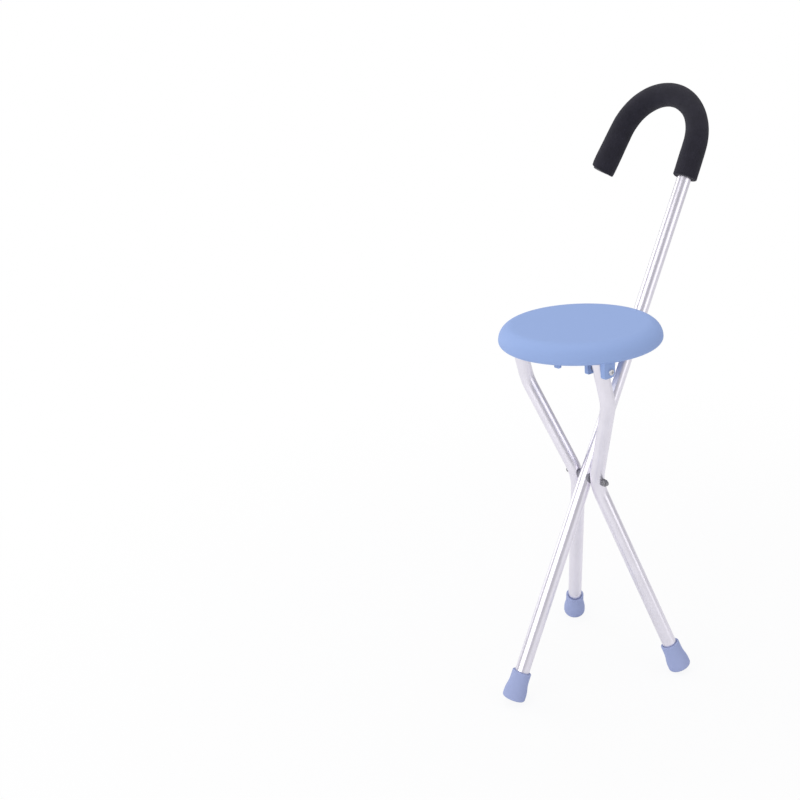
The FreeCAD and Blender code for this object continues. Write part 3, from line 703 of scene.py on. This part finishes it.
    def build(self) -> bpy.types.Object:
        """Make the foam.

        Returns:
            The foam's object.
        """
        to_row = self.to_row()
        rings = self.sections()
        angles = [2 * math.pi * index / self.segments for index in range(self.segments)]
        points = [
            to_row @ self.point(kind, run, size, angle)
            for kind, run, size in rings
            for angle in angles
        ]
        faces = []
        for ring in range(len(rings)):
            low, high = ring * self.segments, (ring + 1) % len(rings) * self.segments
            for index in range(self.segments):
                after = (index + 1) % self.segments
                faces.append((low + index, low + after, high + after, high + index))
        mesh = bpy.data.meshes.new("crook_foam")
        mesh.from_pydata(points, [], faces)
        mesh.polygons.foreach_set("use_smooth", [True] * len(faces))
        mesh.validate()
        mesh.update()
        foam = bpy.data.objects.new("crook_foam", mesh)
        bpy.context.scene.collection.objects.link(foam)
        mesh.materials.append(Finish.FOAM.material())
        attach(foam, "stick")
        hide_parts("foam_grip")
        log.info("crook_foam: %d faces", len(faces))
        return foam


class Side(Enum):
    """The stool's two sides; left is at -X."""

    LEFT = "left"
    RIGHT = "right"


@dataclass
class Cane(SubAssembly):
    """The cane with its cap, ferrule, catch pin and the bolt that carries the legs."""

    def build(self) -> None:
        """Dress the CAD nodes and make the foam."""
        self.dress("cane_tube", Finish.CANE)
        self.dress("grip_end_cap", Finish.CAP)
        self.dress("cane_ferrule", Finish.FERRULE)
        self.dress("cane_ferrule_washer", Finish.BRIGHT_STEEL)
        self.dress("catch_pin", Finish.BRIGHT_STEEL)
        self.dress("catch_pin_caps", Finish.NYLON)
        for node in ("pivot_bolt", "pivot_nut", "pivot_washers"):
            self.dress(node, Finish.DULL_STEEL)
        for side in Side:
            self.dress(f"{side.value}_spacer", Finish.NYLON)
        FoamGrip(self.frame).build()


@dataclass
class Leg(SubAssembly):
    """One bent leg.

    Attributes:
        side: Which leg it is.
        finish: Finish of its tube.
    """

    side: Side = Side.LEFT
    finish: Finish = Finish.LEFT_LEG

    def build(self) -> None:
        """Dress the leg's nodes."""
        self.dress(f"{self.side.value}_leg_tube", self.finish)
        self.dress(f"{self.side.value}_leg_bush", Finish.NYLON)
        self.dress(f"{self.side.value}_leg_plug", Finish.CAP)
        self.dress(f"{self.side.value}_ferrule", Finish.FERRULE)
        self.dress(f"{self.side.value}_ferrule_washer", Finish.BRIGHT_STEEL)


@dataclass
class Seat(SubAssembly):
    """The moulded seat and the fasteners of its clevises."""

    def build(self) -> None:
        """Dress the seat's nodes."""
        self.dress("seat_shell", Finish.SEAT)
        self.dress("hinge_screws", Finish.BRIGHT_STEEL)
        self.dress("hinge_nuts", Finish.BRIGHT_STEEL)
        self.dress("hinge_washers", Finish.NYLON)


@dataclass
class Studio:
    """Floor, lights and the camera at the photograph's angle.

    Attributes:
        azimuth: Camera's azimuth in degrees; 0 looks along +Y.
        elevation: Camera's height above the horizon in degrees.
        roll: Camera's roll in degrees.
        distance: Distance to the pivot bolt along the view, in metres.
        focal: Focal length in pixels of the 800-pixel frame.
        axis: Pixel that the camera's axis meets.
        bolt_pixel: Pixel where the pivot bolt shows.
        bolt: The pivot bolt's centre, in metres.
        picture: Width of the frame in pixels.
        floor_radius: Radius of the floor, in metres.
        floor_points: Points of the floor's edge.
    """

    azimuth: float = 51.37
    elevation: float = 15.36
    roll: float = -3.42
    distance: float = 1.502
    focal: float = 1132.0
    axis: tuple[float, float] = (478.0, 305.0)
    bolt_pixel: tuple[float, float] = (586.4, 475.7)
    bolt: tuple[float, float, float] = (0.0, 0.0, 0.274455)
    picture: int = 800
    floor_radius: float = 9.0
    floor_points: int = 96

    def build(self) -> None:
        """Make floor, world, lamps and camera."""
        self.build_floor()
        self.build_world()
        self.build_lamps()
        self.build_camera()

    def build_camera(self) -> bpy.types.Object:
        """The camera, aimed so that the pivot bolt shows where it does in the photograph.

        Returns:
            The camera's object.
        """
        azimuth, elevation, roll = (
            math.radians(angle) for angle in (self.azimuth, self.elevation, self.roll)
        )
        back = Vector(
            (
                math.sin(azimuth) * math.cos(elevation),
                -math.cos(azimuth) * math.cos(elevation),
                math.sin(elevation),
            )
        )
        level = Vector((math.cos(azimuth), math.sin(azimuth), 0))
        upright = back.cross(level)
        right = level * math.cos(roll) + upright * math.sin(roll)
        up = upright * math.cos(roll) - level * math.sin(roll)
        across = (self.bolt_pixel[0] - self.axis[0]) * self.distance / self.focal
        down = (self.bolt_pixel[1] - self.axis[1]) * self.distance / self.focal
        place = Vector(self.bolt) + back * self.distance - right * across + up * down
        data = bpy.data.cameras.new("camera")
        data.sensor_width = 36.0
        data.lens = self.focal / self.picture * data.sensor_width
        half = self.picture / 2
        data.shift_x = (half - self.axis[0]) / self.picture
        data.shift_y = (self.axis[1] - half) / self.picture
        data.dof.use_dof = False
        camera = bpy.data.objects.new("camera", data)
        axes = Matrix((right, up, back)).transposed()
        camera.matrix_world = Matrix.Translation(place) @ axes.to_4x4()
        bpy.context.scene.collection.objects.link(camera)
        bpy.context.scene.camera = camera
        return camera

    def build_floor(self) -> bpy.types.Object:
        """A plain pale floor that keeps the object's shadow.

        Returns:
            The floor's object.
        """
        radius, count = self.floor_radius, self.floor_points
        turns = [2 * math.pi * k / count for k in range(count)]
        rim = [(radius * math.cos(turn), radius * math.sin(turn), 0) for turn in turns]
        mesh = bpy.data.meshes.new("studio_floor")
        mesh.from_pydata(rim, [], [tuple(range(count))])
        floor = bpy.data.objects.new("studio_floor", mesh)
        graph = ShaderGraph("studio_floor_white")
        seen = graph.node("ShaderNodeLightPath", output="Is Camera Ray")
        distance = graph.node(
            "ShaderNodeVectorMath",
            {"operation": "LENGTH"},
            {0: graph.node("ShaderNodeTexCoord", output="Object")},
            output="Value",
        )
        paper = graph.node("ShaderNodeBsdfDiffuse", inputs={"Color": (0.90, 0.90, 0.90)})
        glow = graph.node("ShaderNodeEmission", inputs={"Color": (1, 1, 1), "Strength": 1.0})
        share = distance.ramp(0.30, 1.2, 0.90, 1.0)
        mixed = graph.node("ShaderNodeMixShader", inputs={0: seen * share, 1: paper, 2: glow})
        mesh.materials.append(graph.output(mixed))
        bpy.context.scene.collection.objects.link(floor)
        return floor

    def build_world(self) -> None:
        """White to the camera, and a soft even light on the object."""
        graph = ShaderGraph("studio_world", world=True)
        tint = (0.95, 0.94, 1.0)
        soft = graph.node("ShaderNodeBackground", inputs={"Color": tint, "Strength": 0.50})
        white = graph.node("ShaderNodeBackground", inputs={"Color": (1, 1, 1), "Strength": 1.0})
        seen = graph.node("ShaderNodeLightPath", output="Is Camera Ray")
        mixed = graph.node("ShaderNodeMixShader", inputs={0: seen, 1: soft, 2: white})
        bpy.context.scene.world = graph.output(mixed)

    def build_lamps(self) -> None:
        """Four soft boxes: in front, at each side and overhead."""
        lamps = (
            ("key_lamp", (0.2, -3.0, 1.3), 3.4, 40.0),
            ("side_lamp", (-2.8, -0.7, 1.3), 2.6, 22.0),
            ("fill_lamp", (3.0, 0.9, 1.2), 2.6, 15.0),
            ("top_lamp", (-0.2, 0.3, 2.9), 2.8, 27.0),
        )
        aim = Vector((0, 0, 0.4))
        for name, place, size, power in lamps:
            data = bpy.data.lights.new(name, "AREA")
            data.shape = "DISK"
            data.size = size
            data.energy = power
            lamp = bpy.data.objects.new(name, data)
            lamp.location = place
            lamp.rotation_euler = (aim - Vector(place)).to_track_quat("-Z", "Y").to_euler()
            bpy.context.scene.collection.objects.link(lamp)


def main() -> None:
    """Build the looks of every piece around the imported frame."""
    logging.basicConfig(level=logging.INFO, format="%(name)s: %(message)s")
    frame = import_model()
    scene = bpy.context.scene
    scene.view_settings.view_transform = "Standard"
    Cane(frame).build()
    Leg(frame, Side.LEFT, Finish.LEFT_LEG).build()
    Leg(frame, Side.RIGHT, Finish.RIGHT_LEG).build()
    Seat(frame).build()
    Studio().build()


if __name__ == "__main__":
    main()
